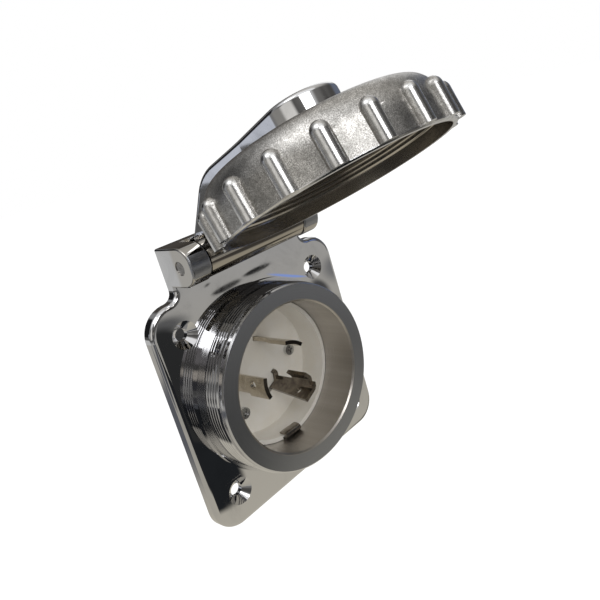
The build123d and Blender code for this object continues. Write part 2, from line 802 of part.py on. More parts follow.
def make_terminal_body():
    """Rear body: pockets for the blocks, wire passages, screw access and a groove for the bus."""
    bus_outer_radius = body_radius - bus_outer_margin
    with BuildPart() as terminal_body:
        with BuildSketch(front_plane(body_back_y)):
            Circle(body_radius)
        extrude(amount=body_back_y - cup_back_y)
        chamfer(terminal_body.faces().sort_by(Axis.Y)[-1].edges(), body_edge_chamfer)
        with BuildSketch(front_plane(bus_back_y)):
            Circle(bus_outer_radius + loose_clearance)
            Circle(bus_outer_radius - bus_width - loose_clearance, mode=Mode.SUBTRACT)
        extrude(amount=bus_thickness, mode=Mode.SUBTRACT)
        for label, angle, circle_radius, side, hole_radius, front_y in terminals:
            pocket_side = side + 2 * loose_clearance
            passage_radius = hole_radius + wire_passage_margin
            access_radius = terminal_screw_head_radius + 2 * loose_clearance
            with BuildSketch(polar_plane(terminal_back_y, circle_radius, angle)):
                Rectangle(pocket_side, pocket_side)
            extrude(amount=terminal_back_y - cup_back_y, mode=Mode.SUBTRACT)
            with BuildSketch(polar_plane(body_back_y, circle_radius - wire_hole_inset, angle)):
                Circle(passage_radius)
            extrude(amount=terminal_wall, mode=Mode.SUBTRACT)
            with BuildSketch(radial_plane(terminal_screw_y, circle_radius, angle)):
                Circle(access_radius)
            extrude(amount=body_radius, mode=Mode.SUBTRACT)
        for angle in face_screw_angles:
            with BuildSketch(polar_plane(cup_floor_y + face_screw_length, face_screw_circle_radius, angle)):
                Circle(screw_radius + press_clearance)
            extrude(amount=face_screw_length, mode=Mode.SUBTRACT)
    save(terminal_body, "terminal_body")


if __name__ == "__main__":
    os.makedirs("parts", exist_ok=True)
    make_flange_housing()
    make_hinge_pin()
    make_lid_arm()
    make_screw_cap()
    make_cap_gasket()
    make_pivot()
    make_insulator_cup()
    make_insulator_gasket()
    make_screws()
    for blade_place, blade_angle in line_blade_angles.items():
        make_line_blade(blade_place, blade_angle)
    make_neutral_blade()
    for clip_place, clip_angle in clip_angles.items():
        make_ground_clip(clip_place, clip_angle)
    make_ground_bus()
    for terminal_sizes in terminals:
        make_terminal(*terminal_sizes)
    make_terminal_screws()
    make_terminal_body()
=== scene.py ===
# %% [markdown]
# # Shore power inlet
# A stainless panel inlet: a square polished flange with a threaded collar, contact blades in a white
# cup, and a hinged lid whose cast screw cap stands open. The solids fix every size and place, and this
# script dresses them. The first step loads them.

# %% Load the frame
import json
from math import cos, pi, radians, sin

import bpy
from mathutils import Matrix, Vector


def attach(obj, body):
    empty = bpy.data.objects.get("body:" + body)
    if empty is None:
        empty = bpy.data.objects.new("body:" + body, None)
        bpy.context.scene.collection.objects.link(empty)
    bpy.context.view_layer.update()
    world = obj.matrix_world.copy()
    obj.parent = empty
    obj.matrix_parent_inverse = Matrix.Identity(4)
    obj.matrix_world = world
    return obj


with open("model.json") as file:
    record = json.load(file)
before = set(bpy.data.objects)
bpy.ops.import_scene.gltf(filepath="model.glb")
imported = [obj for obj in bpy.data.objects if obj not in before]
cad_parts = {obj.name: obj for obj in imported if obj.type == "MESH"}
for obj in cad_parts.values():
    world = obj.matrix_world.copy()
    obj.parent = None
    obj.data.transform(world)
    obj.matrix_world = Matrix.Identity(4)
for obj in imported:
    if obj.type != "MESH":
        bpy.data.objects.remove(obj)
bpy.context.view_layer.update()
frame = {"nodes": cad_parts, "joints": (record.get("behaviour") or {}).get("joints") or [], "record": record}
nodes = frame["nodes"]
MM = 0.001

# %% [markdown]
# ## Camera
# The photo looks at the inlet from the front left and above, rolled by some 15 degrees. Its place and
# lens were worked out from the plate's holes, the collar's circles and the hinge, so the view can be
# laid over the photo. The lens shift stands for the photo's off-centre crop.

# %% Camera
CAMERA_PLACE = (-0.16237, -0.23987, 0.11725)
CAMERA_TURN = (75.7472, 14.1740, -51.2684)
SENSOR_WIDTH = 36.0
FOCAL_LENGTH = 37.934
LENS_SHIFT = (-0.1417, -0.1)

bpy.ops.object.select_all(action="DESELECT")
bpy.ops.object.camera_add(location=CAMERA_PLACE, rotation=[radians(turn) for turn in CAMERA_TURN])
camera = bpy.context.object
camera.name = "photo_camera"
camera.data.sensor_width = SENSOR_WIDTH
camera.data.lens = FOCAL_LENGTH
camera.data.shift_x, camera.data.shift_y = LENS_SHIFT
camera.data.clip_start = 10 * MM
bpy.context.scene.camera = camera
print("camera", [round(value, 3) for value in camera.location])

# %% [markdown]
# ## Light and floor
# Polished metal shows only what stands around it, so the surroundings matter more than the metal's own
# colour. The room has a pale ceiling and dim warm walls, with paler and darker patches at bearings
# round it. A bright soft window high at the front left gives the long highlight on the collar. The
# bench is beige, with a black mat in front of the inlet, and the plate mirrors the mat's edge. White
# plastic is lit evenly: rays that light it see a plain pale room. The background is white to the
# camera and through anything clear. The helpers here place nodes, masks and mixes, and the finishes
# further down use them too.

# %% Node helpers
def new_node(tree, kind, place, **values):
    """Adds a shader node and sets its properties or named inputs."""
    node = tree.nodes.new(kind)
    node.location = place
    for key, value in values.items():
        if hasattr(node, key):
            setattr(node, key, value)
        else:
            node.inputs[key.replace("_", " ")].default_value = value
    return node


def math_node(tree, operation, first, second, place):
    """A Math node fed by sockets or plain numbers; gives its output socket."""
    node = new_node(tree, "ShaderNodeMath", place, operation=operation)
    for slot, value in enumerate((first, second)):
        if isinstance(value, (int, float)):
            node.inputs[slot].default_value = value
        else:
            tree.links.new(value, node.inputs[slot])
    return node.outputs[0]


def step_mask(tree, value, low, high, place):
    """0 below low and 1 above high, smooth between; low over high turns it round."""
    node = new_node(tree, "ShaderNodeMapRange", place, interpolation_type="SMOOTHSTEP")
    turned = low > high
    node.inputs["From Min"].default_value = min(low, high)
    node.inputs["From Max"].default_value = max(low, high)
    node.inputs["To Min"].default_value = 1.0 if turned else 0.0
    node.inputs["To Max"].default_value = 0.0 if turned else 1.0
    tree.links.new(value, node.inputs["Value"])
    return node.outputs["Result"]


def blend_colour(tree, mask, first, second, place):
    """Mixes two colours, each a socket or a triple, by a mask."""
    node = new_node(tree, "ShaderNodeMix", place, data_type="RGBA")
    tree.links.new(mask, node.inputs["Factor"])
    for slot, value in ((6, first), (7, second)):
        if isinstance(value, tuple):
            node.inputs[slot].default_value = (*value, 1.0)
        else:
            tree.links.new(value, node.inputs[slot])
    return node.outputs[2]


# %% Light helpers
def colour_ramp(tree, place, stops):
    """A colour ramp from (position, colour) stops, in rising order."""
    ramp = new_node(tree, "ShaderNodeValToRGB", place)
    elements = ramp.color_ramp.elements
    for element, (position, colour) in zip(elements, (stops[0], stops[-1])):
        element.position, element.color = position, (*colour, 1.0)
    for position, colour in stops[1:-1]:
        elements.new(position).color = (*colour, 1.0)
    return ramp


def tinted(brightness, tint):
    """A colour of a given brightness and tint."""
    return tuple(brightness * part for part in tint)


def bearing(azimuth, elevation):
    """Direction of a place in the room: azimuth from the front, to the right; both in degrees."""
    flat = cos(radians(elevation))
    return Vector((flat * sin(radians(azimuth)), -flat * cos(radians(azimuth)), sin(radians(elevation))))


def shade_by_ray(tree, lighting, mirrored, seen, output):
    """Joins what lights the object, what it mirrors and what the camera sees."""
    rays = new_node(tree, "ShaderNodeLightPath", (-600, 500))
    by_gloss = new_node(tree, "ShaderNodeMixShader", (-100, 100))
    by_eye = new_node(tree, "ShaderNodeMixShader", (100, 0))
    straight = math_node(tree, "MAXIMUM", rays.outputs["Is Camera Ray"],
                         rays.outputs["Is Transmission Ray"], (-200, 450))
    tree.links.new(rays.outputs["Is Glossy Ray"], by_gloss.inputs["Fac"])
    tree.links.new(lighting.outputs[0], by_gloss.inputs[1])
    tree.links.new(mirrored.outputs[0], by_gloss.inputs[2])
    tree.links.new(straight, by_eye.inputs["Fac"])
    tree.links.new(by_gloss.outputs[0], by_eye.inputs[1])
    tree.links.new(seen.outputs[0], by_eye.inputs[2])
    tree.links.new(by_eye.outputs[0], output.inputs["Surface"])


# %% Walls and ceiling
WALL_TINT = (1.0, 0.97, 0.92)
# Each row: the height, from 0 straight down to 1 straight up, and the brightness there.
wall_tones = ((0.0, 0.20), (0.48, 0.30), (0.51, 0.16), (0.56, 0.09),
              (0.70, 0.08), (0.78, 0.18), (0.86, 0.45), (1.0, 0.75))

scene = bpy.context.scene
scene.view_settings.view_transform = "Standard"
world = bpy.data.worlds.new("studio")
scene.world = world
world.use_nodes = True
tree = world.node_tree
tree.nodes.clear()
where = new_node(tree, "ShaderNodeTexCoord", (-1400, 0))
split = new_node(tree, "ShaderNodeSeparateXYZ", (-1200, 0))
rise = new_node(tree, "ShaderNodeMapRange", (-1000, 0), From_Min=-1.0)
walls = colour_ramp(tree, (-800, 0), [(height, tinted(tone, WALL_TINT)) for height, tone in wall_tones])
tree.links.new(where.outputs["Generated"], split.inputs[0])
tree.links.new(split.outputs["Z"], rise.inputs["Value"])
tree.links.new(rise.outputs["Result"], walls.inputs["Fac"])

# %% Patches in the room
# Each row: azimuth, elevation, the angles from its middle where it ends and where it is full, and its
# colour. Angles are in degrees, and a later row covers an earlier one.
patches = (
    (-150.0, 28.0, 44.0, 26.0, (0.28, 0.28, 0.28)),
    (147.0, 20.0, 30.0, 22.0, (0.070, 0.062, 0.055)),
    (-153.0, 17.0, 22.0, 17.0, (0.015, 0.015, 0.016)),
    (-106.0, 5.0, 20.0, 9.0, (0.30, 0.29, 0.27)),
    (-76.0, 15.0, 22.0, 12.0, (0.80, 0.78, 0.74)),
    (-138.0, -2.0, 11.0, 7.5, (0.62, 0.65, 0.72)),
    (-92.0, 60.0, 34.0, 20.0, (1.00, 1.00, 1.00)),
    (-16.0, 56.0, 30.0, 18.0, (1.05, 1.05, 1.05)),
    (-34.0, 0.0, 10.0, 6.0, (0.050, 0.050, 0.055)),
    (-35.0, 9.0, 5.0, 2.5, (0.58, 0.53, 0.46)),
    (-28.0, 21.0, 7.0, 4.0, (0.20, 0.19, 0.19)),
    (36.0, 12.0, 22.0, 12.0, (0.030, 0.028, 0.026)),
    (46.0, 5.0, 8.0, 4.0, (0.30, 0.42, 0.80)),
    (100.0, 12.0, 26.0, 10.0, (0.14, 0.16, 0.21)),
    (124.0, 30.0, 20.0, 12.0, (1.00, 1.00, 1.00)),
    (148.0, 33.0, 13.0, 8.0, (0.070, 0.062, 0.055)),
)
room = walls.outputs["Color"]
for number, (azimuth, elevation, outer, inner, colour) in enumerate(patches):
    row = -250 - 200 * number
    toward = new_node(tree, "ShaderNodeVectorMath", (-1000, row), operation="DOT_PRODUCT")
    toward.inputs[1].default_value = bearing(azimuth, elevation)
    tree.links.new(where.outputs["Generated"], toward.inputs[0])
    edges = cos(radians(outer)), cos(radians(inner))
    mask = step_mask(tree, toward.outputs["Value"], *edges, (-800, row))
    room = blend_colour(tree, mask, room, colour, (-600, row))
print("patches in the room", len(patches))

# %% World output
PALE_ROOM = (0.80, 0.80, 0.80, 1.0)
WHITE = (1.0, 1.0, 1.0, 1.0)

reflected = new_node(tree, "ShaderNodeBackground", (-300, 0), Strength=1.0)
pale_room = new_node(tree, "ShaderNodeBackground", (-300, 200), Color=PALE_ROOM, Strength=1.0)
white = new_node(tree, "ShaderNodeBackground", (-300, -200), Color=WHITE, Strength=1.0)
world_output = new_node(tree, "ShaderNodeOutputWorld", (300, 0))
tree.links.new(room, reflected.inputs["Color"])
shade_by_ray(tree, pale_room, reflected, white, world_output)

# %% Lamps
LAMP_TARGET = Vector((0.0, -0.03, 0.03))
LAMP_DISTANCE = 1.2


def soft_lamp(name, azimuth, elevation, width, height, brightness):
    """An area lamp that faces the inlet from a bearing; its brightness holds at any size."""
    place = LAMP_TARGET + LAMP_DISTANCE * bearing(azimuth, elevation)
    bpy.ops.object.light_add(type="AREA", location=place)
    lamp = bpy.context.object
    lamp.name = name
    lamp.data.shape = "RECTANGLE"
    lamp.data.size = width
    lamp.data.size_y = height
    lamp.data.energy = brightness * pi * width * height
    lamp.rotation_euler = (LAMP_TARGET - place).to_track_quat("-Z", "Y").to_euler()
    print(name, "watts", round(lamp.data.energy, 2))


soft_lamp("window_front_left", azimuth=-19.0, elevation=35.0, width=0.55, height=0.42, brightness=3.4)
soft_lamp("ceiling_lamp", azimuth=-80.0, elevation=58.0, width=0.5, height=0.4, brightness=2.5)

# %% Floor and bench
FLOOR_SIZE = 8.0
FLOOR_HEIGHT = -0.11
BENCH_REACH = 2.0
# How much of the blue that a warm tone lacks its green lacks too.
GREEN_LOSS = 0.3
# Each row: the share of the bench's reach, the brightness there, and its blue beside its red.
bench_tones = ((0.0, 0.60, 0.80), (0.06, 0.54, 0.80), (0.12, 0.48, 0.84),
               (0.45, 0.44, 0.96), (0.60, 0.16, 0.96), (1.0, 0.10, 0.96))

bpy.ops.mesh.primitive_plane_add(size=FLOOR_SIZE, location=(0, 0, FLOOR_HEIGHT))
floor = bpy.context.object
floor.name = "floor"
paint = bpy.data.materials.new("floor_paint")
paint.use_nodes = True
tree = paint.node_tree
tree.nodes.clear()
where = new_node(tree, "ShaderNodeTexCoord", (-1200, 0))
away = new_node(tree, "ShaderNodeVectorMath", (-1000, 0), operation="LENGTH")
span = new_node(tree, "ShaderNodeMapRange", (-800, 0), From_Max=BENCH_REACH)
bench_stops = [(share, tinted(tone, (1.0, 1.0 - GREEN_LOSS * (1.0 - blue), blue)))
               for share, tone, blue in bench_tones]
bench = colour_ramp(tree, (-600, 0), bench_stops)
tree.links.new(where.outputs["Object"], away.inputs[0])
tree.links.new(away.outputs["Value"], span.inputs["Value"])
tree.links.new(span.outputs["Result"], bench.inputs["Fac"])

# %% Things on the bench
# Each row is an ellipse: its middle along X and Y, its turn in degrees, its half lengths, the width of
# its soft edge, and its colour. A later row covers an earlier one.
bench_things = (
    (-0.500, 0.750, 0.0, 0.400, 0.400, 0.150, (0.62, 0.62, 0.61)),
    (-0.270, 0.250, -37.0, 0.220, 0.130, 0.050, (0.130, 0.135, 0.150)),
    (-0.560, -0.740, 50.0, 0.300, 0.220, 0.060, (0.070, 0.070, 0.075)),
    (-0.460, -0.180, 80.0, 0.320, 0.130, 0.040, (0.110, 0.115, 0.130)),
    (-0.310, -0.450, 30.0, 0.160, 0.100, 0.030, (0.090, 0.095, 0.105)),
    (-0.090, -0.300, 28.0, 0.250, 0.135, 0.015, (0.018, 0.020, 0.022)),
    (0.230, -0.290, -62.0, 0.170, 0.085, 0.030, (0.085, 0.080, 0.075)),
    (0.210, -0.515, -62.0, 0.060, 0.040, 0.030, (0.130, 0.130, 0.130)),
    (0.095, -0.320, -62.6, 0.245, 0.052, 0.010, (0.030, 0.031, 0.031)),
    (0.017, -0.171, -80.0, 0.069, 0.031, 0.004, (0.018, 0.020, 0.022)),
    (0.120, -0.040, -20.0, 0.065, 0.030, 0.012, (0.070, 0.065, 0.055)),
    (0.345, -0.360, -55.0, 0.060, 0.012, 0.008, (0.080, 0.080, 0.080)),
    (0.420, -0.400, -45.0, 0.100, 0.030, 0.020, (0.220, 0.220, 0.220)),
    (0.381, -0.465, -86.0, 0.056, 0.006, 0.003, (0.300, 0.420, 0.850)),
    (0.400, -0.556, -12.0, 0.036, 0.015, 0.006, (0.012, 0.012, 0.012)),
    (0.334, -0.546, -12.0, 0.034, 0.017, 0.006, (0.015, 0.015, 0.015)),
    (0.340, -0.605, -40.0, 0.018, 0.006, 0.006, (0.030, 0.030, 0.030)),
)
bench_top = bench.outputs["Color"]
for number, (along, back, turn, long_half, short_half, blur, colour) in enumerate(bench_things):
    row = -250 - 300 * number
    own = new_node(tree, "ShaderNodeMapping", (-1000, row), vector_type="TEXTURE",
                   Location=(along, back, 0.0), Rotation=(0.0, 0.0, radians(turn)),
                   Scale=(long_half, short_half, 1.0))
    tree.links.new(where.outputs["Object"], own.inputs["Vector"])
    reach = new_node(tree, "ShaderNodeVectorMath", (-800, row), operation="LENGTH")
    tree.links.new(own.outputs[0], reach.inputs[0])
    mask = step_mask(tree, reach.outputs["Value"], 1.0, 1.0 - blur / short_half, (-600, row))
    bench_top = blend_colour(tree, mask, bench_top, colour, (-400, row))
print("things on the bench", len(bench_things))

# %% Floor output
BARE_FLOOR = (0.62, 0.61, 0.59, 1.0)
SHADOW_CATCH = (0.3, 0.3, 0.3, 1.0)
SEEN_GLOW = 0.82

bare = new_node(tree, "ShaderNodeBsdfDiffuse", (-400, 100), Color=BARE_FLOOR)
mirrored = new_node(tree, "ShaderNodeEmission", (-400, -50), Strength=1.0)
pale = new_node(tree, "ShaderNodeBsdfDiffuse", (-400, -200), Color=SHADOW_CATCH)
glow = new_node(tree, "ShaderNodeEmission", (-400, -350), Color=WHITE, Strength=SEEN_GLOW)
both = new_node(tree, "ShaderNodeAddShader", (-200, -250))
floor_output = new_node(tree, "ShaderNodeOutputMaterial", (300, 0))
tree.links.new(bench_top, mirrored.inputs["Color"])
tree.links.new(pale.outputs[0], both.inputs[0])
tree.links.new(glow.outputs[0], both.inputs[1])
shade_by_ray(tree, bare, mirrored, both, floor_output)
floor.data.materials.append(paint)

# %% [markdown]
# ## Finishes
# Every finish is a node network on Object coordinates, so it stays with the metal when the lid moves.
# What several finishes share is built once as a node group, which gives only values and masks. The
# shader itself stays in each material.

# %% Helpers for finishes
def new_group(name, inputs, outputs):
    """An empty node group; inputs are (name, kind, default), outputs are (name, kind)."""
    group = bpy.data.node_groups.new(name, "ShaderNodeTree")
    for label, kind, default in inputs:
        socket = group.interface.new_socket(label, in_out="INPUT", socket_type="NodeSocket" + kind)
        if default is not None:
            socket.default_value = default
    for label, kind in outputs:
        group.interface.new_socket(label, in_out="OUTPUT", socket_type="NodeSocket" + kind)
    start = new_node(group, "NodeGroupInput", (-1400, 0))
    end = new_node(group, "NodeGroupOutput", (600, 0))
    return group, start, end


def use_group(tree, group, place, **values):
    """Places a node group in a material with its own values."""
    node = new_node(tree, "ShaderNodeGroup", place, node_tree=group)
    for key, value in values.items():
        socket = node.inputs[key]
        if isinstance(value, (int, float)):
            socket.default_value = value
        else:
            tree.links.new(value, socket)
    return node


def blend_value(tree, mask, first, second, place):
    """Mixes two numbers, each a socket or a plain number, by a mask."""
    node = new_node(tree, "ShaderNodeMix", place, data_type="FLOAT")
    tree.links.new(mask, node.inputs["Factor"])
    for slot, value in ((2, first), (3, second)):
        if isinstance(value, (int, float)):
            node.inputs[slot].default_value = value
        else:
            tree.links.new(value, node.inputs[slot])
    return node.outputs[0]


def round_axis(tree, split, across, up, place):
    """Distance from an axis and the angle round it, from two of a split vector's coordinates."""
    left, top = place
    flat = new_node(tree, "ShaderNodeCombineXYZ", (left, top))
    tree.links.new(split.outputs[across], flat.inputs["X"])
    tree.links.new(split.outputs[up], flat.inputs["Y"])
    length = new_node(tree, "ShaderNodeVectorMath", (left + 200, top), operation="LENGTH")
    tree.links.new(flat.outputs[0], length.inputs[0])
    angle = math_node(tree, "ARCTAN2", split.outputs[up], split.outputs[across], (left + 200, top - 200))
    return length.outputs["Value"], angle


# %% [markdown]
# Three groups carry the small-scale look. Cast mottle is the cloudy grain of blasted stainless: two
# noises at different scales. Turned lines are the fine rings that a lathe tool leaves, a noise
# stretched along the turning direction. Handling marks are soft smudges, thin straight scratches and
# the slow waves that polishing leaves.

# %% Cast mottle group
CLOUD_EDGES = (0.32, 0.70)
GRAIN_PER_CLOUD = 9.0

cast_mottle, start, end = new_group(
    "cast_mottle",
    [("Vector", "Vector", None), ("Scale", "Float", 300.0)],
    [("Value", "Float"), ("Grain", "Float")])
link = cast_mottle.links.new
clouds = new_node(cast_mottle, "ShaderNodeTexNoise", (-900, 200), Detail=4.0, Roughness=0.62)
grain = new_node(cast_mottle, "ShaderNodeTexNoise", (-900, -100), Detail=3.0, Roughness=0.7)
fine = math_node(cast_mottle, "MULTIPLY", start.outputs["Scale"], GRAIN_PER_CLOUD, (-1150, -150))
link(start.outputs["Vector"], clouds.inputs["Vector"])
link(start.outputs["Vector"], grain.inputs["Vector"])
link(start.outputs["Scale"], clouds.inputs["Scale"])
link(fine, grain.inputs["Scale"])
link(step_mask(cast_mottle, clouds.outputs[0], *CLOUD_EDGES, (-600, 200)), end.inputs["Value"])
link(grain.outputs[0], end.inputs["Grain"])

# %% Turned lines group
LINE_WANDER = 1.3

turned_lines, start, end = new_group(
    "turned_lines",
    [("Across", "Float", 0.0), ("Along", "Float", 0.0),
     ("Density", "Float", 1500.0), ("Detail", "Float", 3.0)],
    [("Value", "Float")])
link = turned_lines.links.new
across = math_node(turned_lines, "MULTIPLY", start.outputs["Across"], start.outputs["Density"],
                   (-1100, 100))
along = math_node(turned_lines, "MULTIPLY", start.outputs["Along"], LINE_WANDER, (-1100, -100))
place = new_node(turned_lines, "ShaderNodeCombineXYZ", (-850, 0))
lines = new_node(turned_lines, "ShaderNodeTexNoise", (-600, 0), Scale=1.0, Roughness=0.65)
link(across, place.inputs["X"])
link(along, place.inputs["Y"])
link(place.outputs[0], lines.inputs["Vector"])
link(start.outputs["Detail"], lines.inputs["Detail"])
link(lines.outputs[0], end.inputs["Value"])

# %% Handling marks group
SMUDGE_EDGES = (0.45, 0.72)
SCRATCH_EDGES = (0.70, 0.78)
SCRATCH_TURN = (0.4, 0.9, 0.6)
SCRATCH_STRETCH = (1.0, 26.0, 26.0)
WAVE_PER_SMUDGE = 0.7

handling_marks, start, end = new_group(
    "handling_marks",
    [("Vector", "Vector", None), ("Scale", "Float", 60.0)],
    [("Smudge", "Float"), ("Scratch", "Float"), ("Wave", "Float")])
link = handling_marks.links.new
smudge = new_node(handling_marks, "ShaderNodeTexNoise", (-900, 300),
                  Detail=5.0, Roughness=0.6, Distortion=0.6)
wave = new_node(handling_marks, "ShaderNodeTexNoise", (-900, 0), Detail=1.0, Roughness=0.4)
stretch = new_node(handling_marks, "ShaderNodeMapping", (-1100, -300),
                   Rotation=SCRATCH_TURN, Scale=SCRATCH_STRETCH)
thin = new_node(handling_marks, "ShaderNodeTexNoise", (-900, -300), Detail=2.0, Roughness=0.5)
wide = math_node(handling_marks, "MULTIPLY", start.outputs["Scale"], WAVE_PER_SMUDGE, (-1150, 0))
for texture in (smudge, wave):
    link(start.outputs["Vector"], texture.inputs["Vector"])
link(start.outputs["Vector"], stretch.inputs["Vector"])
link(stretch.outputs[0], thin.inputs["Vector"])
link(start.outputs["Scale"], smudge.inputs["Scale"])
link(wide, wave.inputs["Scale"])
link(start.outputs["Scale"], thin.inputs["Scale"])
link(step_mask(handling_marks, smudge.outputs[0], *SMUDGE_EDGES, (-500, 300)), end.inputs["Smudge"])
link(step_mask(handling_marks, thin.outputs[0], *SCRATCH_EDGES, (-500, -300)), end.inputs["Scratch"])
link(wave.outputs[0], end.inputs["Wave"])
print("node groups", [group.name for group in bpy.data.node_groups])

# %% Start and end of a material
POLISH_RELIEF = 6e-6


def new_finish(name, metallic, roughness, colour):
    """A material with its Principled shader; gives the material, tree, shader and Object coordinates.

    The roughness and colour are a plain start, until patterns are linked in their place.
    """
    material = bpy.data.materials.new(name)
    material.use_nodes = True
    tree = material.node_tree
    shader = tree.nodes["Principled BSDF"]
    shader.inputs["Base Color"].default_value = (*colour, 1.0)
    shader.inputs["Metallic"].default_value = metallic
    shader.inputs["Roughness"].default_value = roughness
    where = new_node(tree, "ShaderNodeTexCoord", (-2000, 0))
    return material, tree, shader, where.outputs["Object"]


def add_bump(tree, shader, height, distance, strength=1.0):
    """A bump node on the shader's normal, its distance in metres."""
    bump = new_node(tree, "ShaderNodeBump", (-250, -400), Strength=strength, Distance=distance)
    tree.links.new(height, bump.inputs["Height"])
    tree.links.new(bump.outputs[0], shader.inputs["Normal"])


# %% [markdown]
# ## Polished flange steel
# One casting carries several finishes: the plate and knuckles are mirror polished with faint waves and
# a grey haze, the collar is finely turned, its front face is satin, and the bore is brushed. They are
# told apart by distance from the bore's axis and by depth, so the one node keeps its single material.
# The fronts of the knuckles are painted a little darker and warmer, as painted shade for the shaded hinge,
# and they are told by height and depth.

# %% Zones of the flange
# Each zone fades in from its first value to its second.
AT_FRONT = (-21.45 * MM, -21.55 * MM)
PAST_BORE = (34.7 * MM, 34.9 * MM)
IN_BORE = (35.0 * MM, 34.8 * MM)
NEAR_COLLAR = (44.6 * MM, 44.4 * MM)
BEFORE_PLATE = (-5.6 * MM, -5.8 * MM)
ABOVE_NECK = (57.5 * MM, 59.0 * MM)
KNUCKLE_FRONT = (-9.5 * MM, -12.5 * MM)

flange_steel, tree, shader, here = new_finish("flange_steel", 1.0, 0.08, (0.66, 0.66, 0.67))
split = new_node(tree, "ShaderNodeSeparateXYZ", (-1800, 0))
tree.links.new(here, split.inputs[0])
radius, angle = round_axis(tree, split, "X", "Z", (-1600, 100))
depth = split.outputs["Y"]
at_front = step_mask(tree, depth, *AT_FRONT, (-1200, 300))
past_bore = step_mask(tree, radius, *PAST_BORE, (-1200, 150))
on_face = math_node(tree, "MULTIPLY", at_front, past_bore, (-1000, 250))
in_bore = step_mask(tree, radius, *IN_BORE, (-1200, 0))
near_collar = step_mask(tree, radius, *NEAR_COLLAR, (-1200, -100))
before_plate = step_mask(tree, depth, *BEFORE_PLATE, (-1200, -200))
on_collar = math_node(tree, "MULTIPLY", near_collar, before_plate, (-1000, -100))
above_neck = step_mask(tree, split.outputs["Z"], *ABOVE_NECK, (-1200, 900))
knuckle_front = step_mask(tree, depth, *KNUCKLE_FRONT, (-1200, 1050))
on_knuckle = math_node(tree, "MULTIPLY", above_neck, knuckle_front, (-1000, 950))

# %% Marks and lines of the flange
marks = use_group(tree, handling_marks, (-1400, -500), Vector=here, Scale=48.0)
rings = use_group(tree, turned_lines, (-1200, -700), Across=radius, Along=angle, Density=5200.0)
laps = use_group(tree, turned_lines, (-1200, -900), Across=depth, Along=angle, Density=4200.0)
streaks = use_group(tree, turned_lines, (-1200, -1100), Across=angle, Along=depth, Density=5.0)
collar_lines = use_group(tree, turned_lines, (-1200, -1300),
                         Across=depth, Along=angle, Density=950.0, Detail=0.0)

# %% Roughness of the flange
# Each pair is what the finish's own pattern fades between.
PLATE_ROUGH = (0.018, 0.07)
SCRATCH_ROUGH = 0.24
COLLAR_ROUGH = (0.05, 0.18)
FACE_ROUGH = (0.26, 0.40)
BORE_ROUGH = (0.20, 0.42)

rough = blend_value(tree, marks.outputs["Smudge"], *PLATE_ROUGH, (-800, -300))
rough = blend_value(tree, marks.outputs["Scratch"], rough, SCRATCH_ROUGH, (-650, -300))
collar_rough = blend_value(tree, collar_lines.outputs["Value"], *COLLAR_ROUGH, (-800, -600))
face_rough = blend_value(tree, rings.outputs["Value"], *FACE_ROUGH, (-800, -500))
bore_rough = blend_value(tree, laps.outputs["Value"], *BORE_ROUGH, (-800, -700))
rough = blend_value(tree, on_collar, rough, collar_rough, (-600, -300))
rough = blend_value(tree, on_face, rough, face_rough, (-500, -300))
rough = blend_value(tree, in_bore, rough, bore_rough, (-350, -300))
tree.links.new(rough, shader.inputs["Roughness"])

# %% Colour of the flange
PLATE_TINTS = ((0.66, 0.66, 0.67), (0.58, 0.58, 0.59))
FACE_TINTS = ((0.28, 0.29, 0.315), (0.40, 0.41, 0.435))
BORE_TINTS = ((0.36, 0.33, 0.30), (0.62, 0.60, 0.57))
# The knuckles' colour below is painted shade for the shaded hinge, not a colour of the metal.
KNUCKLE_PAINTED_SHADE = (0.50, 0.48, 0.45)

tint = blend_colour(tree, marks.outputs["Smudge"], *PLATE_TINTS, (-800, 300))
face_tint = blend_colour(tree, rings.outputs["Value"], *FACE_TINTS, (-800, 500))
bore_tint = blend_colour(tree, streaks.outputs["Value"], *BORE_TINTS, (-800, 700))
tint = blend_colour(tree, on_knuckle, tint, KNUCKLE_PAINTED_SHADE, (-650, 400))
tint = blend_colour(tree, on_face, tint, face_tint, (-500, 300))
tint = blend_colour(tree, in_bore, tint, bore_tint, (-350, 300))
tree.links.new(tint, shader.inputs["Base Color"])

# %% Relief of the flange
COLLAR_LINE_HEIGHT = 1.6
PLATE_WAVE_HEIGHT = 6.0

turned = math_node(tree, "MULTIPLY", collar_lines.outputs["Value"], on_collar, (-950, -900))
turned = math_node(tree, "MULTIPLY", turned, COLLAR_LINE_HEIGHT, (-900, -950))
turned = blend_value(tree, on_face, turned, rings.outputs["Value"], (-800, -900))
turned = blend_value(tree, in_bore, turned, laps.outputs["Value"], (-650, -900))
wavy = math_node(tree, "MULTIPLY", marks.outputs["Wave"], PLATE_WAVE_HEIGHT, (-800, -1100))
add_bump(tree, shader, math_node(tree, "ADD", turned, wavy, (-500, -900)), POLISH_RELIEF)

# %% [markdown]
# ## Polished arm steel
# The arm is polished like the plate, with fewer smudges. Its hinge barrel is painted darker and warmer than
# the strap, as painted shade for the shade that it mirrors close around it, so the finish measures how far a
# point lies from the hinge's axis.

# %% Arm steel
ARM_ROUGH = (0.045, 0.10)
ARM_SCRATCH_ROUGH = 0.22
ARM_TINTS = ((0.74, 0.74, 0.75), (0.64, 0.64, 0.65))
# The hinge barrel's colour is painted shade: darker and warmer, for the shade that the barrel mirrors close
# around it.
BARREL_PAINTED_SHADE = (0.46, 0.43, 0.38)
ON_BARREL = (9.8 * MM, 8.6 * MM)
ARM_WAVE_HEIGHT = 9.0
hinge = next(joint for joint in frame["joints"] if joint["name"] == "lid_hinge")
hinge_back, hinge_up = hinge["pos_m"][1:]

